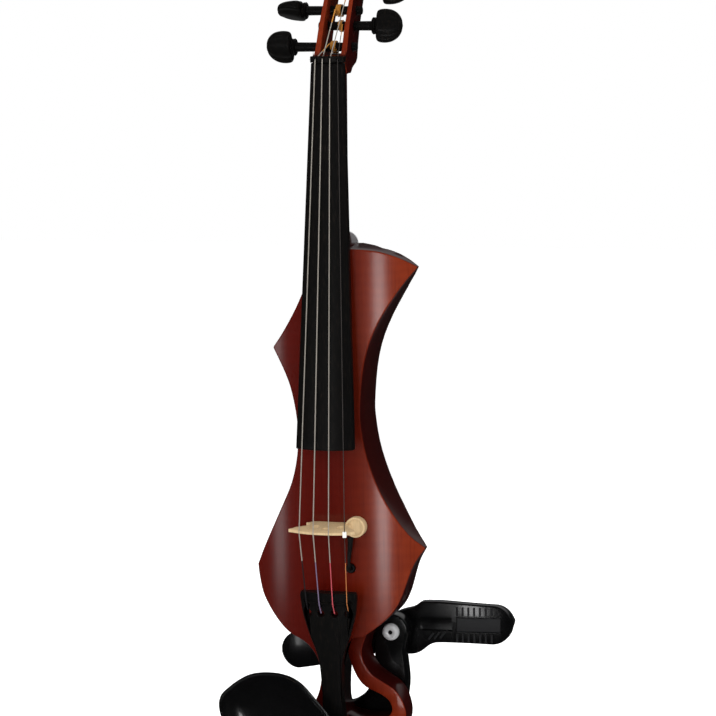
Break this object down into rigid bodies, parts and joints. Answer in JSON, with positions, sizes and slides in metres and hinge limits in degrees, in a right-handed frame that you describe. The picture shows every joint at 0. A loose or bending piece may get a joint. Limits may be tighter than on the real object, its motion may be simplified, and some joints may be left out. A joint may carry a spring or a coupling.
{
  "type": "electric violin",
  "caption": "Electric violin with an open, swept body, looped tail band, fingerboard, bridge with sensor, chinrest, shoulder rest, tuning pegs and scroll.",
  "frame": {"origin": "centre of the outer face of the end button, at the violin's lower end", "axes": "+Z along the violin from the end button to the scroll, +Y to the back, so the strings are on the -Y side, and +X to the treble side"},
  "size_m": [0.1912, 0.1211, 0.601],
  "materials": {
    "top_wood": "red-brown stain under clear gloss varnish",
    "side_wood": "darker red-brown stain under clear gloss varnish",
    "neck_wood": "dark red-brown stain, satin where the hand goes",
    "ebony": "satin black hardwood",
    "bridge_maple": "bare pale maple, matt",
    "string_wound": "flat-wound string",
    "string_plain": "plain steel string",
    "silk_g": "thread wrapping at the peg end",
    "steel": "polished",
    "jack_metal": "polished",
    "black_gloss": "gloss black moulding",
    "black_satin": "satin black moulding",
    "slide_grey": "satin grey slide",
    "foam": "matt closed-cell foam",
    "lead": "thin flexible jacket",
    "gut": "polymer tailgut cord",
    "sleeve": "white tube",
    "circuit": "green laminate",
    "cell": "dark wrapped case"
  },
  "bodies": {
    "violin": {"top_plate": "top_wood", "body_frame": "side_wood", "neck": "neck_wood", "heel_disc": "steel", "fingerboard": "ebony", "nut": "ebony", "bridge": "bridge_maple", "bridge_sensor": "bridge_maple", "pickup_lead": "lead", "lead_grommet": "black_satin", "string_sleeve": "sleeve", "tailpiece": "ebony", "saddle": "ebony", "end_button": "ebony", "tailgut": "gut", "string_g": "string_wound", "string_d": "string_wound", "string_a": "string_wound", "string_e": "string_plain", "chinrest": "black_gloss", "clamp_rod_front_bass": "steel", "clamp_rod_front_treble": "steel", "clamp_foot": "steel", "rest_bracket": "black_gloss", "bracket_bolt": "steel", "control_cover": "black_satin", "cover_screw_1": "steel", "cover_screw_2": "steel", "cover_screw_3": "steel", "cover_screw_4": "steel", "volume_pot": "steel", "tone_pot": "steel", "circuit_board": "circuit", "output_jack": "jack_metal", "headphone_jack": "jack_metal", "battery_box": "black_satin", "battery": "cell"},
    "peg_g_body": {"peg_g": "ebony", "winding_g": "silk_g"},
    "peg_d_body": {"peg_d": "ebony", "winding_d": "silk_g"},
    "peg_a_body": {"peg_a": "ebony", "winding_a": "silk_g"},
    "peg_e_body": {"peg_e": "ebony", "winding_e": "silk_g"},
    "volume": {"volume_knob": "black_satin"},
    "tone": {"tone_knob": "black_satin"},
    "door": {"battery_door": "black_satin"},
    "post": {"rest_post": "steel"},
    "rest": {"rest_frame": "black_gloss", "rest_slide": "slide_grey", "rest_pad": "foam"},
    "barrel_bass": {"clamp_barrel_bass": "steel"},
    "barrel_treble": {"clamp_barrel_treble": "steel"}
  },
  "joints": [
    {"name": "peg_g_turn", "type": "hinge", "parent": "violin", "child": "peg_g_body", "pos_m": [0, 0.006, 0.506], "axis": [1, 0, 0], "continuous": true},
    {"name": "peg_d_turn", "type": "hinge", "parent": "violin", "child": "peg_d_body", "pos_m": [0, 0.02, 0.531], "axis": [1, 0, 0], "continuous": true},
    {"name": "peg_a_turn", "type": "hinge", "parent": "violin", "child": "peg_a_body", "pos_m": [0, 0.029, 0.545], "axis": [1, 0, 0], "continuous": true},
    {"name": "peg_e_turn", "type": "hinge", "parent": "violin", "child": "peg_e_body", "pos_m": [0, 0.013, 0.5204], "axis": [1, 0, 0], "continuous": true},
    {"name": "volume_turn", "type": "hinge", "parent": "violin", "child": "volume", "pos_m": [-0.001, 0.019, 0.16701], "axis": [0, 1, 0], "range_deg": [-150, 150]},
    {"name": "tone_turn", "type": "hinge", "parent": "violin", "child": "tone", "pos_m": [-0.001, 0.019, 0.13301], "axis": [0, 1, 0], "range_deg": [-150, 150]},
    {"name": "door_open", "type": "hinge", "parent": "violin", "child": "door", "pos_m": [0, 0.0196, 0.2826], "axis": [-1, 0, 0], "range_deg": [0, 95]},
    {"name": "post_slide", "type": "slide", "parent": "violin", "child": "post", "axis": [0, 1, 0], "range_m": [0, 0.006]},
    {"name": "rest_swivel", "type": "hinge", "parent": "post", "child": "rest", "pos_m": [0.029, 0.0403, 0.08241], "axis": [0, 1, 0], "range_deg": [-15, 15]},
    {"name": "barrel_bass_turn", "type": "hinge", "parent": "violin", "child": "barrel_bass", "pos_m": [-0.026, -0.0045, 0.004], "axis": [0, 1, 0], "continuous": true},
    {"name": "barrel_treble_turn", "type": "hinge", "parent": "violin", "child": "barrel_treble", "pos_m": [0.026, -0.0045, 0.004], "axis": [0, 1, 0], "continuous": true}
  ]
}
